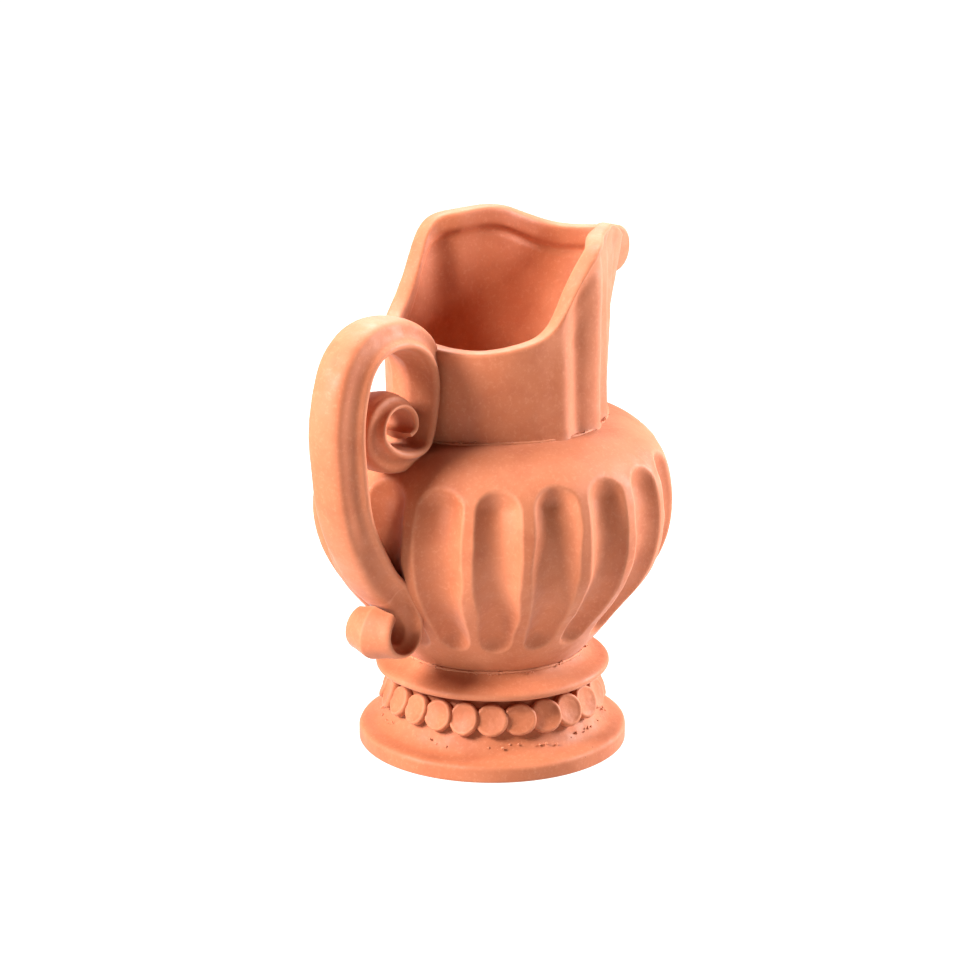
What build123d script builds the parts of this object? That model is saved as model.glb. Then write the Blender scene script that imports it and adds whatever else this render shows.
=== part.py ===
from build123d import *
import math
import os

# Terracotta pitcher: flared foot with a ring of clay pellets, collar, fluted belly, neck with a
# drawn-out spout that ends in a small scroll, and a strap handle with a scroll at each end.
# Millimetres, +Z up, origin at the centre of the foot's flat underside.
# The spout points along +X and the handle along -X.

# Driving dimensions
foot_radius = 76.8
foot_side_height = 7.5
floor_thickness = 10.0
waist_radius = 53.4
waist_top = 41.5
cavity_radius = 43.0
cavity_bulge = 3.0
cavity_bulge_height = 20.0
collar_radius = 66.9
belly_bottom = 57.1
belly_bottom_radius = 52.7
belly_wall = 11.0
shoulder_top = 193.0
flute_count = 19
flute_phase = -141.0
flute_cutter_radius = 18.0
flute_depth_top = 5.6
flute_depth_bottom = 1.2
flute_span = (0.20, 0.55, 0.70)  # start, middle and end of a flute, as shares of the belly meridian
pellet_count = 24
pellet_phase = 7.2
pellet_radius = 9.2
pellet_thickness = 5.0
pellet_ring_radius = 58.0
pellet_height = 30.5
pellet_tilt = 22.0
neck_radius = 61.5
neck_wall = 9.5
neck_base = 184.0
neck_levels = (214.0, 242.0, 272.0)
neck_blank_top = 302.0
neck_samples = 36
spout_angle = 26.5
spout_reach_base = 9.0
spout_reach_top = 50.0
spout_reach_height = 275.0
spout_overreach = 1.15  # the spout goes on reaching out a little above that height
spout_scroll_x = 109.5
spout_scroll_z = 269.5
spout_scroll_radius = 14.2
spout_scroll_width = 15.0
strap_face_width = 21.0
strap_width = 35.0
scroll_narrowing = 5.0
eye_narrowing = 8.0
eye_x = -88.5
eye_z = 211.5
eye_radius = 8.5
volute_x = -95.5
volute_z = 90.0
volute_edge_radius = 13.0
volute_crest_radius = 20.0
volute_width = 34.0
slip_bead_radius = 1.1

# Depths behind the strap's outer face, as (where the band starts, where it ends)
strap_keel = (20.0, 12.0)
strap_edge_near = (8.0, 4.0)
strap_edge_far = (16.0, 9.0)
scroll_keel = (13.0, 7.0)
scroll_edge_near = (4.5, 2.0)
scroll_edge_far = (9.5, 5.5)

# Top of the foot from its rounded rim up to the waist, as (radius, height)
skirt_profile = [
    (73.6, 10.3), (68.4, 11.6), (63.8, 15.1), (60.3, 20.9), (56.8, 30.2), (waist_radius, waist_top),
]

# Under and over the collar's rounded edge, as (radius, height)
collar_under = [(waist_radius, waist_top), (58.0, 42.4), (collar_radius - 0.8, 45.0)]
collar_over = [
    (collar_radius - 1.0, 48.8), (59.6, 51.2), (54.6, 54.4), (belly_bottom_radius, belly_bottom),
]
collar_edge_height = 46.9

# Belly meridian from the collar seam to the neck, as (radius, height)
belly_profile = [
    (belly_bottom_radius, belly_bottom), (73.9, 84.1), (94.8, 113.1), (101.6, 142.1),
    (95.2, 171.1), (82.8, 182.7), (62.0, 191.8), (50.0, shoulder_top),
]

# Rim seen from the side, as (x, height): low behind, a hump, then down to the spout tip
rim_profile = [
    (-90.0, 247.0), (-64.0, 246.0), (-52.0, 243.5), (-36.0, 246.5), (-15.0, 256.5), (0.0, 275.5),
    (16.0, 292.5), (30.0, 297.2), (46.0, 298.0), (66.0, 295.5), (95.0, 283.5), (130.0, 262.0),
]

# Outer face of the strap in the XZ plane: up the outside, over the top, down to the shoulder
strap_outer = [
    (-98.0, 101.0), (-114.0, 118.5), (-134.0, 150.5), (-143.5, 183.0), (-146.5, 213.0),
    (-140.0, 244.0), (-124.0, 261.5), (-101.0, 267.5), (-75.5, 261.0), (-59.0, 244.5),
    (-55.0, 224.0), (-59.0, 200.5), (-69.0, 184.5), (-86.0, 180.5),
]

# The scroll's inner turn, from the neck side round the bottom to the eye
scroll_outer = [
    (-55.0, 224.0), (-59.0, 200.5), (-69.0, 184.5), (-86.0, 180.5), (-102.0, 183.5),
    (-116.5, 192.5), (-120.5, 206.0), (-114.0, 220.0), (-101.0, 226.0), (-86.0, 222.0),
    (-78.0, 210.5),
]


def point(radius, height):
    return Vector(radius, 0, height)


def even_shares(count):
    return [step / count for step in range(count + 1)]


def beside(curve, distance, shares):
    """Points beside a curve in the XZ plane, to its right as it runs, at the given shares of it.

    The distance is a pair: at the curve's start and at its end.
    """
    points = []
    for t in shares:
        along = curve % t
        gap = distance[0] + (distance[1] - distance[0]) * t
        points.append(curve @ t + Vector(along.Z, 0, -along.X) * gap)
    return points


def make_foot():
    side_top = point(foot_radius, foot_side_height)
    rim_middle = point(foot_radius - 0.9, foot_side_height + 1.9)
    skirt = Spline(*[point(radius, height) for radius, height in skirt_profile])
    outline = [
        Polyline(point(0, 0), point(foot_radius, 0), side_top),
        ThreePointArc(side_top, rim_middle, skirt @ 0),
        skirt,
        Polyline(skirt @ 1, point(cavity_radius, waist_top),
                 point(cavity_radius + cavity_bulge, cavity_bulge_height),
                 point(cavity_radius, floor_thickness), point(0, floor_thickness), point(0, 0)),
    ]
    return revolve(make_face(outline), Axis.Z)


def make_collar():
    under = Spline(*[point(radius, height) for radius, height in collar_under])
    over = Spline(*[point(radius, height) for radius, height in collar_over])
    outline = [
        under,
        ThreePointArc(under @ 1, point(collar_radius, collar_edge_height), over @ 0),
        over,
        Polyline(over @ 1, point(cavity_radius, belly_bottom), point(cavity_radius, waist_top),
                 under @ 0),
    ]
    return revolve(make_face(outline), Axis.Z)


def make_slip_bead():
    """Thin roll of slip squeezed out where the belly meets the collar."""
    centre = point(belly_bottom_radius + 0.4, belly_bottom + 0.3)
    return revolve(make_face(Plane(centre, z_dir=(0, 1, 0)) * Circle(slip_bead_radius).edge()), Axis.Z)


def belly_meridian():
    return Spline(*[point(radius, height) for radius, height in belly_profile])


def make_belly_blank():
    """The belly as if it were solid, for cutting what is luted on to it."""
    meridian = belly_meridian()
    outline = [meridian, Polyline(meridian @ 1, point(0, shoulder_top), point(0, belly_bottom),
                                  meridian @ 0)]
    return revolve(make_face(outline), Axis.Z)


def make_belly_cavity():
    meridian = belly_meridian()
    inner = Spline(*beside(meridian, (-belly_wall, -belly_wall), even_shares(16)))
    low, high = inner @ 0, inner @ 1
    outline = [inner, Polyline(high, point(high.X, shoulder_top + 1), point(0, shoulder_top + 1),
                               point(0, belly_bottom - 1), point(low.X, belly_bottom - 1), low)]
    return revolve(make_face(outline), Axis.Z)


def make_flute_cutters():
    """A bent rod with round ends for each flute, sunk less at the bottom than at the top."""
    meridian = belly_meridian()
    outward = (flute_cutter_radius - flute_depth_bottom, flute_cutter_radius - flute_depth_top)
    path = ThreePointArc(*beside(meridian, outward, flute_span))
    section = Plane(path @ 0, z_dir=path % 0) * Circle(flute_cutter_radius)
    rod = sweep(section, path=path)
    ends = [Pos(*(path @ t)) * Sphere(flute_cutter_radius) for t in (0, 1)]
    cutter = rod + ends[0] + ends[1]
    step = 360 / flute_count
    return [Rot(0, 0, flute_phase + step * index) * cutter for index in range(flute_count)]


def neck_section(height, inset):
    """Closed outline of the neck at a height: round, with the spout drawn out towards +X."""
    rise = (height - neck_base) / (spout_reach_height - neck_base)
    rise = max(0.0, min(spout_overreach, rise))
    reach = spout_reach_base + (spout_reach_top - spout_reach_base) * rise
    points = []
    for index in range(neck_samples):
        angle = index * 360 / neck_samples
        off_axis = min(angle, 360 - angle)
        radius = neck_radius + reach * math.exp(-(off_axis / spout_angle) ** 2) - inset
        turn = math.radians(angle)
        points.append(Vector(radius * math.cos(turn), radius * math.sin(turn), height))
    return make_face(Spline(*points, periodic=True))


def make_neck_solid(inset, base):
    heights = [base, *neck_levels, neck_blank_top]
    return loft([neck_section(height, inset) for height in heights])


def make_below_rim():
    rim = Spline(*[point(x, height) for x, height in rim_profile])
    side = make_face([rim, Polyline(rim @ 1, point(130, 150), point(-90, 150), rim @ 0)])
    return extrude(side, 90, both=True)


def make_spout_scroll():
    roll = Cylinder(spout_scroll_radius, spout_scroll_width)
    return Pos(spout_scroll_x, 0, spout_scroll_z) * Rot(90, 0, 0) * roll


def strap_band(outer_points, near, far, width):
    """Extruded band between two depths behind the strap's outer face."""
    outer = Spline(*[point(x, z) for x, z in outer_points])
    near_edge = Spline(*beside(outer, near, even_shares(24)))
    far_edge = Spline(*beside(outer, far, even_shares(24)))
    outline = [near_edge, Line(near_edge @ 1, far_edge @ 1), far_edge,
               Line(far_edge @ 0, near_edge @ 0)]
    return extrude(make_face(outline), width / 2, both=True)


def make_strap():
    """Narrow outer face, wide middle and narrow keel, with a scroll that curls in on itself."""
    strap = strap_band(strap_outer, (0, 0), strap_keel, strap_face_width)
    strap += strap_band(strap_outer, strap_edge_near, strap_edge_far, strap_width)
    strap += strap_band(scroll_outer, (0, 0), scroll_keel, strap_face_width)
    scroll_width = strap_width - scroll_narrowing
    strap += strap_band(scroll_outer, scroll_edge_near, scroll_edge_far, scroll_width)
    eye = Pos(eye_x, 0, eye_z) * Rot(90, 0, 0) * Cylinder(eye_radius, strap_width - eye_narrowing)
    return strap + eye


def make_volute():
    """Rolled lower end of the strap: a drum with a crest round its middle."""
    half = volute_width / 2
    outline = Polyline((0, -half), (volute_edge_radius, -half), (volute_crest_radius, 0),
                       (volute_edge_radius, half), (0, half), close=True)
    drum = revolve(make_face(outline), Axis.Y)
    return Pos(volute_x, 0, volute_z) * drum


def make_pellet_disc(index):
    tilt = Rot(0, 90 - pellet_tilt, 0)
    disc = tilt * Cylinder(pellet_radius, pellet_thickness)
    turn = pellet_phase + index * 360 / pellet_count
    return Rot(0, 0, turn) * Pos(pellet_ring_radius, 0, pellet_height) * disc


def largest_solid(shape):
    return max(shape.solids(), key=lambda solid: solid.volume)


def write_part(name, shape):
    export_step(largest_solid(shape), f"parts/{name}.step")


os.makedirs("parts", exist_ok=True)

foot = make_foot()
belly_blank = make_belly_blank()
neck_blank = make_neck_solid(0, neck_base) & make_below_rim()
spout_scroll = make_spout_scroll()
belly = belly_blank - make_flute_cutters() - make_belly_cavity()
neck = neck_blank - make_neck_solid(neck_wall, neck_base - 1) - belly_blank - spout_scroll
strap = make_strap() - belly_blank - neck_blank
volute = make_volute() - belly_blank - strap
collar = make_collar()

write_part("foot_base", foot)
write_part("collar_ring", collar)
write_part("collar_slip_bead", make_slip_bead() - collar - belly_blank)
write_part("belly", belly)
write_part("neck", neck)
write_part("spout_scroll", spout_scroll)
write_part("handle_strap", strap)
write_part("handle_lower_volute", volute)

for number in range(pellet_count):
    pellet = make_pellet_disc(number) - make_pellet_disc(number - 1) - foot
    write_part(f"pellet_{number + 1:02d}", pellet)
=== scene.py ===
import math
import bpy
import numpy as np
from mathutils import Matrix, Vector, noise


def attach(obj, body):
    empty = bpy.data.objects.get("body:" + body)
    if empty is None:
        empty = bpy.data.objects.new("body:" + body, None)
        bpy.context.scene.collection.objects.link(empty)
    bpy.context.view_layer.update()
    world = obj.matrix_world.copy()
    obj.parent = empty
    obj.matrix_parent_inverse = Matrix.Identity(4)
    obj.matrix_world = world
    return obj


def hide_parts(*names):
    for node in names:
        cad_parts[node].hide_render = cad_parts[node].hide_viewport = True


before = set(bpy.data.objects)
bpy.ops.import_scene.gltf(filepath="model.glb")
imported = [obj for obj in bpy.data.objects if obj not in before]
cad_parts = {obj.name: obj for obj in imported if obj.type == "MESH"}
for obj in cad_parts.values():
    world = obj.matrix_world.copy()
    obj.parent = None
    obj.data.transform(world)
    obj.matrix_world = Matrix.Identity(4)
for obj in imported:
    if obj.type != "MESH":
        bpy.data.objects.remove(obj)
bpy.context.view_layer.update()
mm = 0.001  # shapes are written in millimetres and made in metres
swellSize, lumpSize = 28, 7  # width of the broad swells and the small lumps in hand-shaped clay
print("frame loaded,", len(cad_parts), "nodes")

# the handle points along -X and the spout along +X, so the camera stands on the handle's near side
cameraStand = {
    "distance": 1.972, "around": -142.5, "above": 21.54,
    "lens": 126.05, "tilt": 72.62, "turn": -52.365,
}


def makeCamera(stand):
    around, above = math.radians(stand["around"]), math.radians(stand["above"])
    data = bpy.data.cameras.new("standCamera")
    data.lens = stand["lens"]
    camera = bpy.data.objects.new("standCamera", data)
    reach = stand["distance"] * math.cos(above)
    camera.location = (reach * math.cos(around), reach * math.sin(around),
                       stand["distance"] * math.sin(above))
    camera.rotation_euler = (math.radians(stand["tilt"]), 0, math.radians(stand["turn"]))
    bpy.context.scene.collection.objects.link(camera)
    bpy.context.scene.camera = camera


makeCamera(cameraStand)


# a smooth cubic through values at the given knots; rows of values give a curve
def cubicThrough(knots, values):
    x, y = np.array(knots, float), np.array(values, float)
    y = y.reshape(len(x), -1)
    gap = np.diff(x)
    slope = np.diff(y, axis=0) / gap[:, None]
    matrix = np.eye(len(x))
    right = np.zeros_like(y)
    for i in range(1, len(x) - 1):
        matrix[i, i - 1:i + 2] = gap[i - 1], 2 * (gap[i - 1] + gap[i]), gap[i]
        right[i] = 6 * (slope[i] - slope[i - 1])
    bend = np.linalg.solve(matrix, right)

    def at(t):
        t = np.clip(np.asarray(t, float), x[0], x[-1])
        i = np.clip(np.searchsorted(x, t, side="right") - 1, 0, len(x) - 2)
        h = gap[i][..., None]
        a = (x[i + 1] - t)[..., None] / h
        b = 1 - a
        curve = a * y[i] + b * y[i + 1]
        curve = curve + ((a ** 3 - a) * bend[i] + (b ** 3 - b) * bend[i + 1]) * h * h / 6
        return curve if y.shape[1] > 1 else curve[..., 0]
    return at


def runLength(points):
    return np.r_[0, np.cumsum(np.linalg.norm(np.diff(points, axis=0), axis=1))]


# a smooth line through the points, in even steps
def smoothLine(points, count):
    points = np.array(points, float)
    chord = runLength(points)
    fine = cubicThrough(chord, points)(np.linspace(0, chord[-1], 60 * len(points)))
    run = runLength(fine)
    even = np.linspace(0, run[-1], count)
    return np.stack([np.interp(even, run, fine[:, k]) for k in range(fine.shape[1])], 1)


def straightLine(start, end, count):
    return np.linspace(np.array(start, float), np.array(end, float), count)


# the same outline at every angle round Z, as rows of rings
def turned(outline, around):
    angle = np.linspace(0, 2 * math.pi, around, endpoint=False)
    radius, height = outline[:, 0][:, None], outline[:, 1][:, None]
    return np.stack([radius * np.cos(angle), radius * np.sin(angle), height + 0 * angle], -1)


# outward direction at each point of a grid of rings
def ringNormals(rows, wrap):
    along = np.roll(rows, -1, 0) - np.roll(rows, 1, 0)
    if not wrap:
        along = np.gradient(rows, axis=0)
    across = np.roll(rows, -1, 1) - np.roll(rows, 1, 1)
    normal = np.cross(across, along)
    return normal / np.maximum(np.linalg.norm(normal, axis=-1, keepdims=True), 1e-9)


# smooth noise from -1 to 1; size is the width of a lump in millimetres
def lumps(points, size, seed):
    shift = Vector((7.3 * seed + 1.1, 3.7 * seed + 2.3, 5.9 * seed + 0.7))
    flat = (points.reshape(-1, 3) / size).tolist()
    values = [noise.noise(Vector(p) + shift) for p in flat]
    return np.array(values).reshape(points.shape[:-1])


# uneven clay: broad swells and small lumps, each pushed out or in by up to so many millimetres
def shapeByHand(rows, wrap, seed, swell, lump):
    out = ringNormals(rows, wrap)
    if signedVolume(rows, wrap) < 0:
        out = -out
    lift = swell * lumps(rows, swellSize, seed) + lump * lumps(rows, lumpSize, seed + 1)
    return rows + out * lift[..., None]


def ringFaces(count, around, wrap):
    index = np.arange(count * around).reshape(count, around)
    row = index if wrap else index[:-1]
    above = np.roll(index, -1, 0) if wrap else index[1:]
    return np.stack([row, np.roll(row, -1, 1), np.roll(above, -1, 1), above], -1).reshape(-1, 4)


def signedVolume(rows, wrap):
    faces = ringFaces(*rows.shape[:2], wrap)
    a, b, c, d = (rows.reshape(-1, 3)[faces[:, k]] for k in range(4))
    total = np.sum(a * np.cross(b, c)) + np.sum(a * np.cross(c, d))
    if not wrap:
        for end, sign in ((rows[0], -1), (rows[-1], 1)):
            centre = end.mean(0)
            total += sign * np.sum(centre * np.cross(end, np.roll(end, -1, 0)))
    return total / 6


# closed mesh from rings of points in millimetres: a loop of rings, or a stack with both ends capped
def ringMesh(name, rows, wrap, material):
    count, around = rows.shape[:2]
    points = rows.reshape(-1, 3)
    faces = ringFaces(count, around, wrap).tolist()
    if not wrap:
        low, high = len(points), len(points) + 1
        points = np.vstack([points, rows[0].mean(0), rows[-1].mean(0)])
        top = (count - 1) * around
        for k in range(around):
            after = (k + 1) % around
            faces.append((low, after, k))
            faces.append((high, top + k, top + after))
    if signedVolume(rows, wrap) < 0:
        faces = [face[::-1] for face in faces]
    mesh = bpy.data.meshes.new(name)
    mesh.from_pydata((points * mm).tolist(), [], faces)
    mesh.polygons.foreach_set("use_smooth", np.ones(len(faces), bool))
    if not wrap:  # the end rings stay crisp
        ends = np.zeros(len(mesh.edges) * 2, int)
        mesh.edges.foreach_get("vertices", ends)
        ring = ends.reshape(-1, 2)
        crisp = (ring < around).all(1) | ((ring >= top) & (ring < low)).all(1)
        mesh.attributes.new("sharp_edge", "BOOLEAN", "EDGE").data.foreach_set("value", crisp)
    mesh.materials.append(material)
    mesh.update()
    piece = bpy.data.objects.new(name, mesh)
    bpy.context.scene.collection.objects.link(piece)
    return piece


def seat(piece, *nodes):
    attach(piece, "root")
    if nodes:
        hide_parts(*nodes)
    print("made", piece.name)
    return piece


# one call per node: its kind, what goes into it, and its settings
def nodeAdder(tree):
    def add(kind, inputs=None, **settings):
        node = tree.nodes.new(kind)
        for key, value in settings.items():
            setattr(node, key, value)
        for key, value in (inputs or {}).items():
            socket = node.inputs[key]
            if isinstance(value, bpy.types.NodeSocket):
                tree.links.new(value, socket)
            else:
                socket.default_value = value
        return node
    return add


clayLook = {
    "fired": (0.44, 0.125, 0.050, 1), "pale": (0.50, 0.160, 0.072, 1), "deep": (0.36, 0.086, 0.032, 1),
    # the pore tone is painted shade for the inside of the pinholes
    "dust": (0.60, 0.230, 0.120, 1), "poreShadeTone": (0.12, 0.022, 0.010, 1),
    "roughness": 0.62, "specular": 0.35, "grainDepth": 0.00006, "poreDepth": 0.0004,
    # pinholes: millimetres between them, share of those places that have one, largest as a share of the gap
    "poreGap": 11, "poreShare": 0.28, "poreSize": 0.038,
}


def makeClay(name, look, seed):
    material = bpy.data.materials.new(name)
    material.use_nodes = True
    tree = material.node_tree
    tree.nodes.clear()
    add = nodeAdder(tree)
    place = add("ShaderNodeTexCoord").outputs["Object"]
    moved = add("ShaderNodeMapping", {"Vector": place, "Location": (seed * 1.7, seed * 0.9, seed * 2.3)})
    here = moved.outputs[0]

    def cloud(size, detail, rough=0.55):
        return add("ShaderNodeTexNoise", {"Vector": here, "Scale": 1 / (size * mm), "Detail": detail,
                                          "Roughness": rough}).outputs["Fac"]

    def blend(factor, first, second):
        mix = add("ShaderNodeMix", {0: factor, 6: first, 7: second}, data_type="RGBA")
        return mix.outputs[2]

    def ramp(value, low, high, top=1.0):
        return add("ShaderNodeMapRange", {"Value": value, "From Min": low, "From Max": high,
                                          "To Max": top}).outputs[0]

    # fired colour drifts between pale and deep patches, with a fine mottle, dust on worn edges, and painted
    # shade that darkens the creases
    colour = blend(ramp(cloud(45, 3), 0.42, 0.66, 0.75), look["fired"], look["pale"])
    colour = blend(ramp(cloud(17, 4), 0.50, 0.74, 0.55), colour, look["deep"])
    colour = blend(ramp(cloud(2.2, 3, 0.7), 0.52, 0.72, 0.35), colour, look["dust"])
    colour = blend(ramp(cloud(0.8, 2, 0.6), 0.58, 0.74, 0.30), colour, look["deep"])
    edgeWearAndCreaseShade = add("ShaderNodeNewGeometry").outputs["Pointiness"]
    colour = blend(ramp(edgeWearAndCreaseShade, 0.512, 0.56, 0.45), colour, look["dust"])
    # painted shade: creases and hollows (low pointiness) are darkened towards the deep tone
    colour = blend(ramp(edgeWearAndCreaseShade, 0.488, 0.45, 0.35), colour, look["deep"])

    # pinholes: a few cells of a coarse pattern hold one small pore each
    cells = add("ShaderNodeTexVoronoi", {"Vector": here, "Scale": 1 / (look["poreGap"] * mm)})
    chance = add("ShaderNodeSeparateColor", {"Color": cells.outputs["Color"]})
    rare = 1 - look["poreShare"]
    picked = add("ShaderNodeMath", {0: chance.outputs[0], 1: rare}, operation="GREATER_THAN").outputs[0]
    size = ramp(chance.outputs[1], 0.0, 1.0, look["poreSize"])
    near = {0: cells.outputs["Distance"], 1: size}
    inside = add("ShaderNodeMath", near, operation="LESS_THAN").outputs[0]
    pores = add("ShaderNodeMath", {0: picked, 1: inside}, operation="MULTIPLY").outputs[0]
    # painted shade: each pore is coloured dark for the shade inside the hole, while the bump below sinks the
    # hole itself
    poreShadeAmount = add("ShaderNodeMath", {0: pores, 1: 0.8}, operation="MULTIPLY").outputs[0]
    colour = blend(poreShadeAmount, colour, look["poreShadeTone"])

    # grain: sandy tooth, soft tool drags, and the sunk pores
    fine, coarse = cloud(0.55, 3, 0.6), cloud(2.6, 4, 0.6)
    tooth = add("ShaderNodeMath", {0: fine, 1: coarse}, operation="ADD").outputs[0]
    grain = add("ShaderNodeBump", {"Height": tooth, "Distance": look["grainDepth"], "Strength": 1.0})
    sunk = add("ShaderNodeMath", {0: 1.0, 1: pores}, operation="SUBTRACT").outputs[0]
    pits = add("ShaderNodeBump", {"Height": sunk, "Distance": look["poreDepth"], "Strength": 0.8,
                                  "Normal": grain.outputs[0]})
    polish = add("ShaderNodeMapRange", {"Value": cloud(9, 3), "From Min": 0.35, "From Max": 0.65,
                                        "To Min": look["roughness"] - 0.07,
                                        "To Max": look["roughness"] + 0.10}).outputs[0]
    shader = add("ShaderNodeBsdfPrincipled", {"Base Color": colour, "Roughness": polish,
                                              "Specular IOR Level": look["specular"],
                                              "Sheen Weight": 0.10, "Sheen Roughness": 0.4,
                                              "Normal": pits.outputs[0]})
    add("ShaderNodeOutputMaterial", {"Surface": shader.outputs[0]})
    return material


bodyClay = makeClay("firedClayBody", clayLook, 1)
footClay = makeClay("firedClayFoot", clayLook, 2)
neckClay = makeClay("firedClayNeck", clayLook, 3)
handleClay = makeClay("firedClayHandle", clayLook, 4)
slipClay = makeClay("driedSlip", clayLook, 5)

footShape = {
    "outline": [(76.8, 7.0), (76.4, 8.5), (75.2, 9.6), (73.4, 10.3), (68.4, 11.6), (63.8, 15.1),
                (60.3, 20.9), (56.8, 30.2), (54.2, 37.6), (53.4, 41.5)],
    "bottomEdge": [(75.9, 0.0), (76.5, 0.25), (76.8, 0.9)],
    "inside": [(43.0, 41.5), (45.5, 24.0), (43.0, 12.0), (40.0, 10.2)],
    "floorCentre": (20, 10), "underCentre": (30, 0), "widest": 76.9, "around": 480,
    "rimWander": [(30, 0.5), (9, 0.22)],  # width and height of the waves in the hand-trimmed rim
    "rimFrom": 60, "rimTo": 76, "rimTop": 12,
}


def makeFoot(shape):
    outline = np.vstack([
        straightLine(shape["underCentre"], shape["bottomEdge"][0], 12)[:-1],
        smoothLine(shape["bottomEdge"], 5),
        straightLine(shape["bottomEdge"][-1], shape["outline"][0], 8)[1:-1],
        smoothLine(shape["outline"], 56),
        straightLine(shape["outline"][-1], shape["inside"][0], 6)[1:-1],
        smoothLine(shape["inside"], 18),
        straightLine(shape["inside"][-1], shape["floorCentre"], 6)[1:],
    ])
    rows = turned(outline, shape["around"])
    # the rim of the foot was trimmed by hand, so its height wanders a little
    reach, height = np.hypot(rows[..., 0], rows[..., 1]), rows[..., 2]
    nearRim = np.clip((reach - shape["rimFrom"]) / (shape["rimTo"] - shape["rimFrom"]), 0, 1)
    onTop = (height > 5) * np.clip((shape["rimTop"] - height) / 6, 0, 1)
    ring = rows[len(rows) // 2] * np.array([1, 1, 0])
    (longWave, longLift), (shortWave, shortLift) = shape["rimWander"]
    wander = lumps(ring, longWave, 11) * longLift + lumps(ring, shortWave, 12) * shortLift
    rows[..., 2] += wander[None, :] * nearRim * onTop
    hand = shapeByHand(rows, False, 13, 0.30, 0.10)
    flat = rows[..., 2] < 0.5  # the underside stays flat
    hand[flat] = rows[flat]
    hand[..., 2] = np.maximum(hand[..., 2], 0)
    limit = shape["widest"] / np.maximum(np.hypot(hand[..., 0], hand[..., 1]), shape["widest"])
    hand[..., :2] *= limit[..., None]
    return ringMesh("footBody", hand, False, footClay)


seat(makeFoot(footShape), "foot_base")

collarShape = {
    "outline": [(53.2, 41.0), (55.4, 41.9), (58.8, 42.5), (62.4, 43.3), (65.4, 44.4), (66.8, 45.8),
                (66.8, 47.4), (65.4, 48.9), (61.5, 50.7), (57.4, 52.8), (54.4, 55.2), (52.6, 57.4)],
    "bore": 43.0, "around": 480,
    "warp": (45, 0.5), "warpFrom": 58,  # wave width and height of the flange's edge, and where it starts
}


def makeCollar(shape):
    first, last = shape["outline"][0], shape["outline"][-1]
    outline = np.vstack([
        smoothLine(shape["outline"], 54),
        straightLine(last, (shape["bore"], last[1]), 5)[1:],
        straightLine((shape["bore"], last[1]), (shape["bore"], first[1]), 6)[1:],
        straightLine((shape["bore"], first[1]), first, 5)[1:-1],
    ])
    rows = turned(outline, shape["around"])
    ring = rows[20] * np.array([1, 1, 0])
    wave, lift = shape["warp"]
    flange = np.hypot(rows[..., 0], rows[..., 1]) > shape["warpFrom"]
    rows[..., 2] += lumps(ring, wave, 21)[None, :] * lift * flange
    return ringMesh("collarFlange", shapeByHand(rows, True, 22, 0.30, 0.09), True, footClay)


seat(makeCollar(collarShape), "collar_ring")

bellyShape = {
    "outline": [(52.7, 57.1), (63.0, 69.6), (74.6, 84.1), (86.3, 98.6), (95.3, 113.1), (100.2, 127.6),
                (101.6, 142.1), (100.3, 156.6), (96.0, 170.6), (85.2, 182.6), (65.0, 191.4), (50.0, 193.8)],
    "wall": 11.0, "around": 532,
    "flutes": 19, "phase": -141.0, "ridge": 3.3,
    "top": 176.0, "topRound": 12.5, "bottom": 73.5, "bottomRound": 9.5,
    "depthTop": 8.4, "depthBottom": 5.4, "softness": 0.004,
    "sway": 1.3, "edgeSway": 0.13, "endSway": 1.8, "depthSway": 0.12,
    "swayLength": 34, "edgeLength": 19, "depthLength": 26,
    "bottomSeam": 57.1, "neckHole": [(47.0, 190.5), (47.5, 184.5)], "bottomHole": 43.5,
}


# how deep the flutes are gouged at each step of the meridian and each angle, in radians
def fluteDepth(shape, meridian, angle):
    run = runLength(meridian)
    topRun = np.interp(shape["top"], meridian[:, 1], run)
    bottomRun = np.interp(shape["bottom"], meridian[:, 1], run)
    step = 2 * math.pi / shape["flutes"]
    turn = (angle - math.radians(shape["phase"])) / step
    number = np.round(turn)
    offset = (turn - number) * step
    depth = np.zeros((len(run), len(angle)))
    tags = np.stack([np.zeros_like(number), number * 13.7, number * 5.1], -1)
    topHere = topRun + shape["endSway"] * lumps(tags, 1.0, 31)
    bottomHere = bottomRun + shape["endSway"] * lumps(tags, 1.0, 32)
    for k, radius in enumerate(meridian[:, 0]):
        tags = np.stack([np.full_like(number, run[k]), number * 47.0, number * 19.0], -1)
        side = offset * radius - shape["sway"] * lumps(tags, shape["swayLength"], 33)
        half = radius * step / 2 - shape["ridge"]
        left = 1 + shape["edgeSway"] * lumps(tags, shape["edgeLength"], 34)
        right = 1 + shape["edgeSway"] * lumps(tags, shape["edgeLength"], 35)
        half = half * np.where(side > 0, right, left)
        over = np.clip((run[k] - topHere) / shape["topRound"] + 1, 0, None)
        under = np.clip((bottomHere - run[k]) / shape["bottomRound"] + 1, 0, None)
        room = 1 - (side / half) ** 2 - over ** 2 - under ** 2
        soft = 0.5 * (room + np.sqrt(room ** 2 + shape["softness"]) - np.sqrt(shape["softness"]))
        share = np.clip((run[k] - bottomRun) / (topRun - bottomRun), 0, 1)
        full = shape["depthBottom"] + (shape["depthTop"] - shape["depthBottom"]) * share ** 0.7
        full = full * (1 + shape["depthSway"] * lumps(tags, shape["depthLength"], 36))
        depth[k] = full * np.maximum(soft, 0) ** 0.85
    return depth


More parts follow.
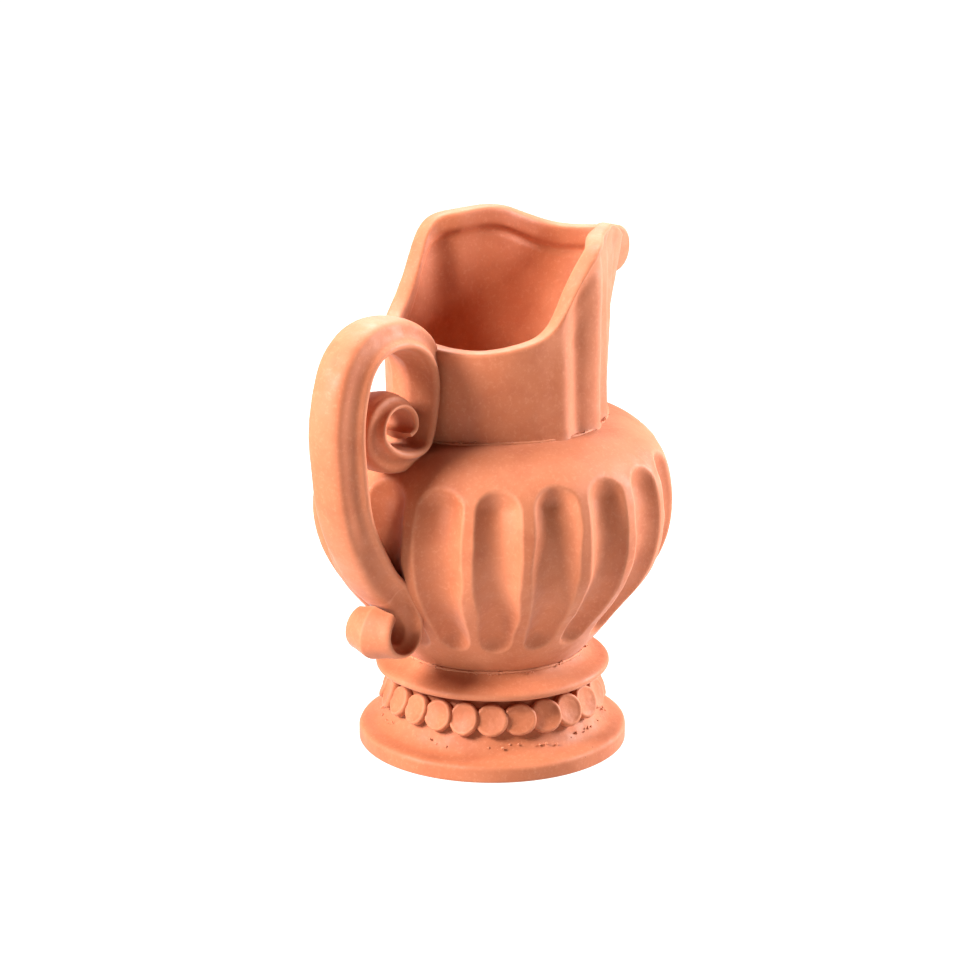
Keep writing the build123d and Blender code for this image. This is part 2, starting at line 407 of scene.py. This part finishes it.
def makeBelly(shape):
    meridian = smoothLine(shape["outline"], 124)
    slope = np.gradient(meridian, axis=0)
    slope /= np.linalg.norm(slope, axis=1, keepdims=True)
    outward = np.stack([slope[:, 1], -slope[:, 0]], 1)
    inner = (meridian - outward * shape["wall"])[::-1]
    inside = (inner[:, 1] > shape["bottomSeam"]) & (inner[:, 1] < shape["neckHole"][-1][1] - 0.5)
    inner = np.vstack([shape["neckHole"], inner[inside][::5], (shape["bottomHole"], shape["bottomSeam"])])
    angle = np.linspace(0, 2 * math.pi, shape["around"], endpoint=False)
    outer = turned(meridian, shape["around"])
    inward = np.stack([outward[:, 0][:, None] * np.cos(angle), outward[:, 0][:, None] * np.sin(angle),
                       outward[:, 1][:, None] + 0 * angle], -1)
    outer = outer - inward * fluteDepth(shape, meridian, angle)[..., None]
    outer[-1, :, 2] += 0.2
    rows = np.vstack([outer, turned(inner, shape["around"])])
    return ringMesh("bellyShell", shapeByHand(rows, True, 37, 0.5, 0.11), True, bodyClay)


seat(makeBelly(bellyShape), "belly")

neckShape = {
    # angle from the spout, radius where the neck meets the shoulder
    "foot": [(0, 72.5), (15, 70.8), (30, 67.4), (48, 64.0), (66, 62.1), (90, 61.9), (114, 60.4), (132, 59.3),
             (155, 60.6), (180, 63.4)],
    # angle from the spout, radius at the rim, height of the rim
    "rim": [(0, 106.0, 282.0), (15, 93.0, 283.5), (30, 74.5, 295.0), (45, 65.4, 298.0), (60, 61.4, 297.2),
            (75, 63.4, 292.9), (90, 59.8, 276.4), (105, 59.6, 256.7), (125, 60.9, 247.0), (150, 62.6, 243.4),
            (180, 63.7, 245.9)],
    # angle, lift, spread of the drawn ridges and grooves down each side
    "ridges": [(103.5, 1.6, 5.5), (92.0, -2.6, 5.5), (77.0, 1.9, 6.0), (64.0, -1.3, 4.5), (54.0, 0.9, 4.0),
               (44.0, -1.0, 4.0), (35.0, 0.9, 3.5), (26.0, -1.0, 3.5), (17.0, 0.8, 3.5)],
    # section of the lip: how far in from the outer face, height above the rim
    "lip": [(0.0, -3.0), (0.15, -1.8), (0.7, -0.7), (1.8, -0.1), (3.0, 0.05), (5.0, 0.1), (7.0, 0.0),
            (8.4, -0.4), (9.3, -1.3), (9.9, -3.0), (10.2, -5.5), (10.3, -8.0), (10.0, -9.8), (9.2, -11.2),
            (8.2, -12.6), (7.6, -14.5)],
    "base": 192.0, "wall": 7.6, "around": 480, "rows": 96, "innerRows": 45,
    "sunk": 1.6, "flare": (1.6, 3.0),  # depth into the shoulder; width and height of the luted foot
    "lipFrom": 3.0, "lipTo": 14.5,  # the lip's section takes over this far below the rim, outside and in
    "ridgeFade": 26, "proud": 1.5, "proudBetween": (20, 32, 90, 104), "undercut": (8.0, 5.5, 0.6),
    "taper": 2.5,
}


# height of the belly's shoulder at a radius
def shoulderHeight(radius):
    meridian = smoothLine(bellyShape["outline"], 400)
    shoulder = meridian[np.argmax(meridian[:, 0]):][::-1]
    return np.interp(radius, shoulder[:, 0], shoulder[:, 1])


# radius of the neck's outer face at an angle from the spout and a height, and the rim's height there
def neckRadius(shape, angle, height):
    footLine = cubicThrough(*zip(*shape["foot"]))
    rimLine = cubicThrough([p[0] for p in shape["rim"]], [p[1:] for p in shape["rim"]])
    low, top = footLine(angle), rimLine(angle)
    rise = (height - shape["base"]) / (top[..., 1] - shape["base"])
    return low + (top[..., 0] - low) * np.clip(rise, -0.1, 1.0), top[..., 1]


def makeNeck(shape):
    turn = np.linspace(-180, 180, shape["around"], endpoint=False)
    off = np.abs(turn)
    low, rimTop = neckRadius(shape, off, np.full_like(off, shape["base"]))
    foot = shoulderHeight(low) - shape["sunk"]
    ridge = sum(lift * np.exp(-((off - place) / spread) ** 2) for place, lift, spread in shape["ridges"])
    lipLine = smoothLine(shape["lip"], 30)
    start, full, still, end = shape["proudBetween"]
    proud = shape["proud"] * np.clip((off - start) / (full - start), 0, 1)
    proud = proud * np.clip((end - off) / (end - still), 0, 1)
    cutDrop, cutSpread, cutShare = shape["undercut"]
    flareWidth, flareHeight = shape["flare"]
    rows = []
    for share in np.linspace(0, 1, shape["rows"]):  # outer wall, from the shoulder up to just under the lip
        height = foot + (rimTop - shape["lipFrom"] - foot) * share
        radius, _ = neckRadius(shape, off, height)
        fade = np.clip((rimTop - height) / shape["ridgeFade"], 0, 1) ** 0.8
        under = proud * np.exp(-((rimTop - height - cutDrop) / cutSpread) ** 2)
        flare = flareWidth * np.exp(-(height - foot) / flareHeight)
        rows.append((radius + ridge * fade - under * cutShare + flare, height))
    edge, _ = neckRadius(shape, off, rimTop)
    for inward, rise in lipLine[1:]:
        rows.append((edge + proud * np.exp(-(inward / 3.0) ** 2) * 0.4 - inward, rimTop + rise))
    for share in np.linspace(0, 1, shape["innerRows"] + 1)[1:]:  # inner wall, down to the belly's mouth
        height = (rimTop - shape["lipTo"]) * (1 - share) + (foot + 1.0) * share
        radius, _ = neckRadius(shape, off, height)
        rows.append((radius - shape["wall"] - shape["taper"] * share, height))
    radii = np.array([radius for radius, height in rows])
    heights = np.array([height for radius, height in rows])
    angle = np.radians(turn)
    grid = np.stack([radii * np.cos(angle), radii * np.sin(angle), heights], -1)
    return ringMesh("neckShell", shapeByHand(grid, True, 41, 0.45, 0.10), True, neckClay)


seat(makeNeck(neckShape), "neck")

rollShape = {"centre": (109.0, 0.0, 267.5), "radius": 13.8, "half": 7.6, "round": 3.2, "around": 120}


# the curled tip of the spout: a short fat roll lying across it
def makeRoll(shape):
    soft, half, radius = shape["round"], shape["half"], shape["radius"]
    outline = [(radius - soft + soft * math.sin(t), -half + soft * (1 - math.cos(t)))
               for t in np.linspace(0, math.pi / 2, 10)]
    outline = [(radius * 0.25, -half - 0.6), (radius * 0.55, -half - 0.45)] + outline
    outline = np.array(outline + [(r, -y) for r, y in outline[::-1]])
    angle = np.linspace(0, 2 * math.pi, shape["around"], endpoint=False)
    cx, cy, cz = shape["centre"]
    rows = np.stack([cx + outline[:, 0][:, None] * np.cos(angle), cy + outline[:, 1][:, None] + 0 * angle,
                     cz + outline[:, 0][:, None] * np.sin(angle)], -1)
    return ringMesh("spoutRoll", shapeByHand(rows, False, 45, 0.5, 0.12), False, neckClay)


seat(makeRoll(rollShape), "spout_scroll")

handleShape = {
    # the strap's outer face from the side: up the outside, over the top, down the neck, round the scroll
    "strap": [(-105.5, 108.6), (-115.0, 117.6), (-125.5, 132.8), (-135.2, 150.2), (-141.6, 167.8),
              (-145.7, 192.0), (-147.0, 213.5), (-143.4, 235.0), (-132.8, 255.5), (-118.3, 265.0),
              (-101.5, 267.6), (-85.0, 265.0), (-69.5, 257.5), (-58.0, 245.5), (-53.0, 231.0),
              (-54.0, 214.0), (-58.5, 198.5), (-65.5, 186.3), (-75.4, 180.6), (-87.0, 179.8),
              (-102.0, 183.3), (-114.5, 192.0), (-120.0, 204.0), (-115.4, 218.5), (-105.5, 225.0),
              (-94.5, 225.5), (-85.0, 221.5), (-78.6, 214.0), (-77.3, 206.5), (-80.0, 201.0),
              (-85.5, 198.6)],
    # the same face where it curls outwards at the bottom, from the strap to the tip of the roll
    "volute": [(-105.5, 108.6), (-99.0, 103.0), (-93.5, 97.5), (-90.3, 92.0), (-91.0, 87.0),
               (-94.6, 84.3), (-99.0, 85.0), (-101.8, 88.6), (-101.6, 92.4), (-98.6, 94.6)],
    # share of the length, depth of the wide edges, extra depth of the keel, half width, half the face
    "strapSection": [(0.00, 14.0, 7.0, 16.4, 11.0), (0.18, 15.0, 7.0, 16.6, 11.3),
                     (0.34, 15.0, 7.0, 16.6, 11.3), (0.46, 12.5, 6.5, 16.6, 11.0),
                     (0.58, 14.5, 5.0, 16.2, 10.4), (0.70, 10.5, 4.0, 15.2, 9.6),
                     (0.80, 11.0, 3.2, 14.4, 9.0), (0.88, 6.5, 2.2, 13.6, 8.6),
                     (0.94, 4.0, 1.6, 13.0, 8.4), (1.00, 2.4, 1.2, 12.4, 8.2)],
    "voluteSection": [(0.00, 14.0, 7.0, 16.4, 11.0), (0.22, 9.5, 6.0, 16.8, 10.6),
                      (0.44, 6.6, 6.6, 17.0, 10.6), (0.64, 4.4, 6.4, 17.0, 10.8),
                      (0.75, 4.8, 6.0, 17.0, 10.6), (0.85, 7.0, 8.4, 16.2, 10.0),
                      (0.93, 7.6, 6.4, 15.0, 9.4), (1.00, 8.0, 5.5, 13.0, 8.6)],
    "rows": 590, "aside": 1.2, "neckHold": 57.5, "neckHoldTop": 244,
}


# one half of the section, from the middle of the face round to the keel, as (across, depth)
def handleHalf(edge, keel, half, face):
    step = half - face  # the cove runs from the rounded face out to the wide edge
    return [(0.0, -0.6), (face * 0.42, -0.35), (face * 0.70, 0.35), (face * 0.90, edge * 0.13),
            (face, edge * 0.30), (face + step * 0.10, edge * 0.48), (face + step * 0.26, edge * 0.65),
            (face + step * 0.54, edge * 0.80), (face + step * 0.84, edge * 0.88), (half - 0.1, edge * 0.95),
            (half, edge + 0.8), (half * 0.95, edge + 1.9), (half * 0.66, edge + 1.1 + keel * 0.36),
            (half * 0.33, edge + 0.4 + keel * 0.70), (0.0, edge + keel)]


# rings of the handle from the tip of the lower roll, up the strap and into the scroll's eye
def sweepHandle(shape):
    line = smoothLine(shape["volute"][:0:-1] + shape["strap"], shape["rows"])
    join = int(np.argmin(np.linalg.norm(line - np.array(shape["strap"][0]), axis=1)))
    run = runLength(line)
    along = np.gradient(line, axis=0)
    along /= np.linalg.norm(along, axis=1, keepdims=True)
    behind = np.stack([along[:, 1], -along[:, 0]], 1)
    strapSize, voluteSize = (cubicThrough([row[0] for row in table], [row[1:] for row in table])
                             for table in (shape["strapSection"], shape["voluteSection"]))
    upper = (run - run[join]) / (run[-1] - run[join])
    lower = (run[join] - run) / run[join]
    sizes = np.where(upper[:, None] >= 0, strapSize(upper), voluteSize(lower))
    rows = []
    for (x, z), (bx, bz), size in zip(line, behind, sizes):
        half = smoothLine(handleHalf(*size), 44)
        ring = np.vstack([half, (half * np.array([-1, 1]))[::-1][1:-1]])
        rows.append(np.stack([x + bx * ring[:, 1], ring[:, 0] + shape["aside"], z + bz * ring[:, 1]], -1))
    return shapeByHand(np.array(rows), False, 51, 0.40, 0.10), join


def makeHandle(shape):
    rows, join = sweepHandle(shape)
    # where it is luted to the neck the strap stays within the neck's wall
    reach = np.hypot(rows[..., 0], rows[..., 1])
    hold = np.where(rows[..., 2] < shape["neckHoldTop"], shape["neckHold"], 0)
    rows[..., :2] *= np.maximum(hold / np.maximum(reach, 1), 1)[..., None]
    strap = ringMesh("handleStrap", rows[join:], False, handleClay)
    volute = ringMesh("lowerVolute", rows[:join + 1], False, handleClay)
    return strap, volute


handleStrap, lowerVolute = makeHandle(handleShape)
seat(handleStrap, "handle_strap")
seat(lowerVolute, "handle_lower_volute")

pelletRing = {
    "Count": 24, "Ring Radius": 59.6 * mm, "Height": 30.8 * mm, "Tilt": 22.0, "Turn": 7.0, "Phase": -142.8,
    "Wander": 4.0, "Dent": 1.1 * mm, "Seed": 7,
}
pelletOutline = [(2.0, -2.5), (8.2, -2.5), (9.0, -1.7), (9.25, 0.0), (9.1, 1.5), (8.6, 2.3),
                 (7.8, 2.55), (6.9, 2.3), (5.0, 1.95), (2.8, 1.7), (1.0, 1.6)]


def newTree(name, numbers, kinds):
    tree = bpy.data.node_groups.new(name, "GeometryNodeTree")
    tree.interface.new_socket("Geometry", in_out="INPUT", socket_type="NodeSocketGeometry")
    for label in numbers:
        tree.interface.new_socket(label, in_out="INPUT", socket_type=kinds.get(label, "NodeSocketFloat"))
    tree.interface.new_socket("Geometry", in_out="OUTPUT", socket_type="NodeSocketGeometry")
    add = nodeAdder(tree)
    given = add("NodeGroupInput").outputs
    return tree, add, given


def mathNode(add, operation, first, second=0.0):
    return add("ShaderNodeMath", {0: first, 1: second}, operation=operation).outputs[0]


# realize, give the clay, and hand the result out of the tree
def closeTree(tree, add, geometry, material):
    whole = add("GeometryNodeRealizeInstances", {"Geometry": geometry}).outputs[0]
    shaded = add("GeometryNodeSetShadeSmooth", {"Geometry": whole}).outputs[0]
    clay = add("GeometryNodeSetMaterial", {"Geometry": shaded, "Material": material}).outputs[0]
    add("NodeGroupOutput", {"Geometry": clay})


# runs a tree on an object and keeps the result as a plain mesh
def bakeTree(name, source, tree, values):
    modifier = source.modifiers.new(tree.name, "NODES")
    modifier.node_group = tree
    for socket in tree.interface.items_tree:
        if socket.in_out == "INPUT" and socket.name in values:
            modifier[socket.identifier] = values[socket.name]
    bpy.context.view_layer.update()
    mesh = bpy.data.meshes.new_from_object(source.evaluated_get(bpy.context.evaluated_depsgraph_get()))
    source.modifiers.remove(modifier)
    bpy.data.objects.remove(source)
    mesh.name = name
    piece = bpy.data.objects.new(name, mesh)
    bpy.context.scene.collection.objects.link(piece)
    return piece


def noiseShift(add, size, amount):
    place = add("GeometryNodeInputPosition").outputs[0]
    cloud = add("ShaderNodeTexNoise", {"Vector": place, "Scale": 1 / size, "Detail": 2.0}).outputs["Color"]
    centred = add("ShaderNodeVectorMath", {0: cloud, 1: (0.5, 0.5, 0.5)}, operation="SUBTRACT").outputs[0]
    return add("ShaderNodeVectorMath", {0: centred, "Scale": amount}, operation="SCALE").outputs[0]


def makePellets(ring, outline):
    kinds = {"Count": "NodeSocketInt", "Seed": "NodeSocketInt", "Pellet": "NodeSocketObject"}
    tree, add, given = newTree("pelletRingTree", list(ring) + ["Pellet"], kinds)
    line = add("GeometryNodeMeshLine", {"Count": given["Count"]}).outputs[0]
    index = add("GeometryNodeInputIndex").outputs[0]
    step = mathNode(add, "DIVIDE", 2 * math.pi, given["Count"])
    phase = mathNode(add, "RADIANS", given["Phase"])
    angle = mathNode(add, "ADD", mathNode(add, "MULTIPLY", index, step), phase)
    x = mathNode(add, "MULTIPLY", mathNode(add, "COSINE", angle), given["Ring Radius"])
    y = mathNode(add, "MULTIPLY", mathNode(add, "SINE", angle), given["Ring Radius"])
    place = add("ShaderNodeCombineXYZ", {"X": x, "Y": y, "Z": given["Height"]}).outputs[0]
    seats = add("GeometryNodeSetPosition", {"Geometry": line, "Position": place}).outputs[0]
    lean = mathNode(add, "RADIANS", mathNode(add, "SUBTRACT", 90.0, given["Tilt"]))
    aim = add("ShaderNodeCombineXYZ", {"X": mathNode(add, "RADIANS", given["Turn"]), "Y": lean, "Z": angle})
    wander = mathNode(add, "RADIANS", given["Wander"])
    low = mathNode(add, "MULTIPLY", wander, -1.0)
    swing = add("FunctionNodeRandomValue", {"Min": low, "Max": wander, "Seed": given["Seed"]},
                data_type="FLOAT_VECTOR").outputs[0]
    aimed = add("ShaderNodeVectorMath", {0: aim.outputs[0], 1: swing}, operation="ADD").outputs[0]
    turnedAim = add("FunctionNodeEulerToRotation", {0: aimed}).outputs[0]
    sizes = {0: (0.93, 0.93, 0.9), 1: (1.05, 1.05, 1.1), "Seed": given["Seed"]}
    size = add("FunctionNodeRandomValue", sizes, data_type="FLOAT_VECTOR").outputs[0]
    pellet = add("GeometryNodeObjectInfo", {"Object": given["Pellet"]}).outputs["Geometry"]
    coins = add("GeometryNodeInstanceOnPoints", {"Points": seats, "Instance": pellet, "Rotation": turnedAim,
                                                 "Scale": size}).outputs[0]
    loose = add("GeometryNodeRealizeInstances", {"Geometry": coins}).outputs[0]
    shift = noiseShift(add, 7 * mm, given["Dent"])
    pressed = add("GeometryNodeSetPosition", {"Geometry": loose, "Offset": shift}).outputs[0]
    closeTree(tree, add, pressed, footClay)
    coin = ringMesh("pelletCoin", turned(smoothLine(outline, 30), 56), False, footClay)
    source = bpy.data.objects.new("pelletSource", bpy.data.meshes.new("pelletSource"))
    bpy.context.scene.collection.objects.link(source)
    piece = bakeTree("pelletRing", source, tree, {**ring, "Pellet": coin})
    bpy.data.objects.remove(coin)
    return piece


seat(makePellets(pelletRing, pelletOutline), *[f"pellet_{k:02d}" for k in range(1, 25)])

seamBead = {"Thickness": 0.9 * mm, "Uneven": 0.5, "Stray": 0.9 * mm}
crumbs = {"Count": 230, "Small": 0.28, "Large": 0.85, "Spread": 1.6 * mm, "Keep": 0.42, "Seed": 3}
seamCircle = (53.1, 56.9)  # radius and height of the belly's seam on the collar
crumbCircles = [(63.6, 16.2), (53.6, 57.0)]  # below the pellets, and along that seam


# closed lines, given in millimetres, as one plain curve object for a tree to work on
def lineObject(name, lines):
    data = bpy.data.curves.new(name, "CURVE")
    data.dimensions = "3D"
    for points in lines:
        spline = data.splines.new("POLY")
        spline.points.add(len(points) - 1)
        flat = np.c_[np.array(points) * mm, np.ones(len(points))]
        spline.points.foreach_set("co", flat.ravel())
        spline.use_cyclic_u = True
    source = bpy.data.objects.new(name, data)
    bpy.context.scene.collection.objects.link(source)
    return source


def circleLine(radius, height, count=240):
    angle = np.linspace(0, 2 * math.pi, count, endpoint=False)
    return np.stack([radius * np.cos(angle), radius * np.sin(angle), height + 0 * angle], -1)


def neckSeamLine():
    turn = np.linspace(-180, 180, 240, endpoint=False)
    radius, _ = neckRadius(neckShape, np.abs(turn), np.full_like(turn, neckShape["base"]))
    height = shoulderHeight(radius) - 0.2
    angle = np.radians(turn)
    reach = radius + 1.0  # just outside the neck's wall
    return np.stack([reach * np.cos(angle), reach * np.sin(angle), height], -1)


def makeSeams(bead):
    tree, add, given = newTree("seamBeadTree", list(bead), {})
    even = add("GeometryNodeResampleCurve", {"Curve": given["Geometry"], "Length": 0.9 * mm}, mode="LENGTH")
    place = add("GeometryNodeInputPosition").outputs[0]
    cloud = add("ShaderNodeTexNoise", {"Vector": place, "Scale": 1 / (6 * mm), "Detail": 2.0}).outputs["Fac"]
    swing = mathNode(add, "MULTIPLY", mathNode(add, "SUBTRACT", cloud, 0.5), given["Uneven"])
    share = mathNode(add, "ADD", mathNode(add, "MULTIPLY", swing, 3.0), 1.0)
    thick = mathNode(add, "MULTIPLY", share, given["Thickness"])
    strayed = add("GeometryNodeSetPosition", {"Geometry": even.outputs[0],
                                              "Offset": noiseShift(add, 11 * mm, given["Stray"])}).outputs[0]
    ring = add("GeometryNodeCurvePrimitiveCircle", {"Resolution": 10, "Radius": 1.0}).outputs[0]
    tube = add("GeometryNodeCurveToMesh", {"Curve": strayed, "Profile Curve": ring, "Fill Caps": True,
                                           "Scale": thick}).outputs[0]
    closeTree(tree, add, tube, slipClay)
    lines = [circleLine(*seamCircle), neckSeamLine()]
    return bakeTree("slipSeams", lineObject("seamLines", lines), tree, bead)


seat(makeSeams(seamBead), "collar_slip_bead")


def makeCrumbs(crumb):
    kinds = {"Count": "NodeSocketInt", "Seed": "NodeSocketInt"}
    tree, add, given = newTree("crumbTree", list(crumb), kinds)
    along = {"Curve": given["Geometry"], "Count": given["Count"]}
    seats = add("GeometryNodeCurveToPoints", along, mode="COUNT")
    back = mathNode(add, "MULTIPLY", given["Spread"], -1.0)
    stray = add("FunctionNodeRandomValue", {"Min": back, "Max": given["Spread"], "Seed": given["Seed"]},
                data_type="FLOAT_VECTOR").outputs[0]
    loose = add("GeometryNodeSetPosition", {"Geometry": seats.outputs[0], "Offset": stray}).outputs[0]
    chance = {"Probability": given["Keep"], "Seed": given["Seed"]}
    keep = add("FunctionNodeRandomValue", chance, data_type="BOOLEAN")
    bit = add("GeometryNodeMeshIcoSphere", {"Radius": 1 * mm, "Subdivisions": 2}).outputs[0]
    size = add("FunctionNodeRandomValue", {2: given["Small"], 3: given["Large"], "Seed": given["Seed"]},
               data_type="FLOAT").outputs[1]
    turn = add("FunctionNodeRandomValue", {0: (0, 0, 0), 1: (6.28, 6.28, 6.28), "Seed": given["Seed"]},
               data_type="FLOAT_VECTOR").outputs[0]
    aim = add("FunctionNodeEulerToRotation", {0: turn}).outputs[0]
    bits = add("GeometryNodeInstanceOnPoints", {"Points": loose, "Selection": keep.outputs[3],
                                                "Instance": bit, "Rotation": aim, "Scale": size}).outputs[0]
    whole = add("GeometryNodeRealizeInstances", {"Geometry": bits}).outputs[0]
    ragged = {"Geometry": whole, "Offset": noiseShift(add, 1.2 * mm, 0.7 * mm)}
    rough = add("GeometryNodeSetPosition", ragged)
    closeTree(tree, add, rough.outputs[0], slipClay)
    lines = [circleLine(*circle) for circle in crumbCircles] + [neckSeamLine()]
    return bakeTree("clayCrumbs", lineObject("crumbLines", lines), tree, crumb)


seat(makeCrumbs(crumbs))

studio = {
    "floorSize": 9.0, "floorColour": (0.20, 0.195, 0.19, 1), "floorGlow": 1.0,
    "skyColour": (1.0, 0.985, 0.97, 1), "skyStrength": 0.03,
    # name, angle round the pitcher, height angle, distance, size, watts
    "lamps": [("softLeft", 160, 30, 1.5, 0.5, 58), ("softRight", -38, 20, 1.5, 0.5, 52),
              ("softBack", 38, 62, 1.5, 0.8, 55)],
    "aim": (0.0, 0.0, 0.15),
}


def makeStudio(room):
    half = room["floorSize"] / 2
    mesh = bpy.data.meshes.new("studioFloor")
    corners = [(-half, -half, 0), (half, -half, 0), (half, half, 0), (-half, half, 0)]
    mesh.from_pydata(corners, [], [(0, 1, 2, 3)])
    floor = bpy.data.objects.new("studioFloor", mesh)
    bpy.context.scene.collection.objects.link(floor)
    paper = bpy.data.materials.new("palePaper")
    paper.use_nodes = True
    sheen = paper.node_tree.nodes["Principled BSDF"]
    sheen.inputs["Base Color"].default_value = room["floorColour"]
    sheen.inputs["Roughness"].default_value = 0.9
    sheen.inputs["Emission Color"].default_value = room["skyColour"]
    sheen.inputs["Emission Strength"].default_value = room["floorGlow"]
    mesh.materials.append(paper)
    world = bpy.data.worlds.new("paleRoom")
    world.use_nodes = True
    sky = world.node_tree.nodes["Background"].inputs
    sky["Color"].default_value = room["skyColour"]
    sky["Strength"].default_value = room["skyStrength"]
    bpy.context.scene.world = world
    for name, around, above, distance, size, watts in room["lamps"]:
        data = bpy.data.lights.new(name, "AREA")
        data.size, data.energy = size, watts
        lamp = bpy.data.objects.new(name, data)
        turn, lift = math.radians(around), math.radians(above)
        way = Vector((math.cos(lift) * math.cos(turn), math.cos(lift) * math.sin(turn), math.sin(lift)))
        lamp.location = Vector(room["aim"]) + way * distance
        lamp.rotation_euler = way.to_track_quat("Z", "Y").to_euler()
        bpy.context.scene.collection.objects.link(lamp)
    bpy.context.scene.view_settings.view_transform = "Standard"


makeStudio(studio)
print("studio set")
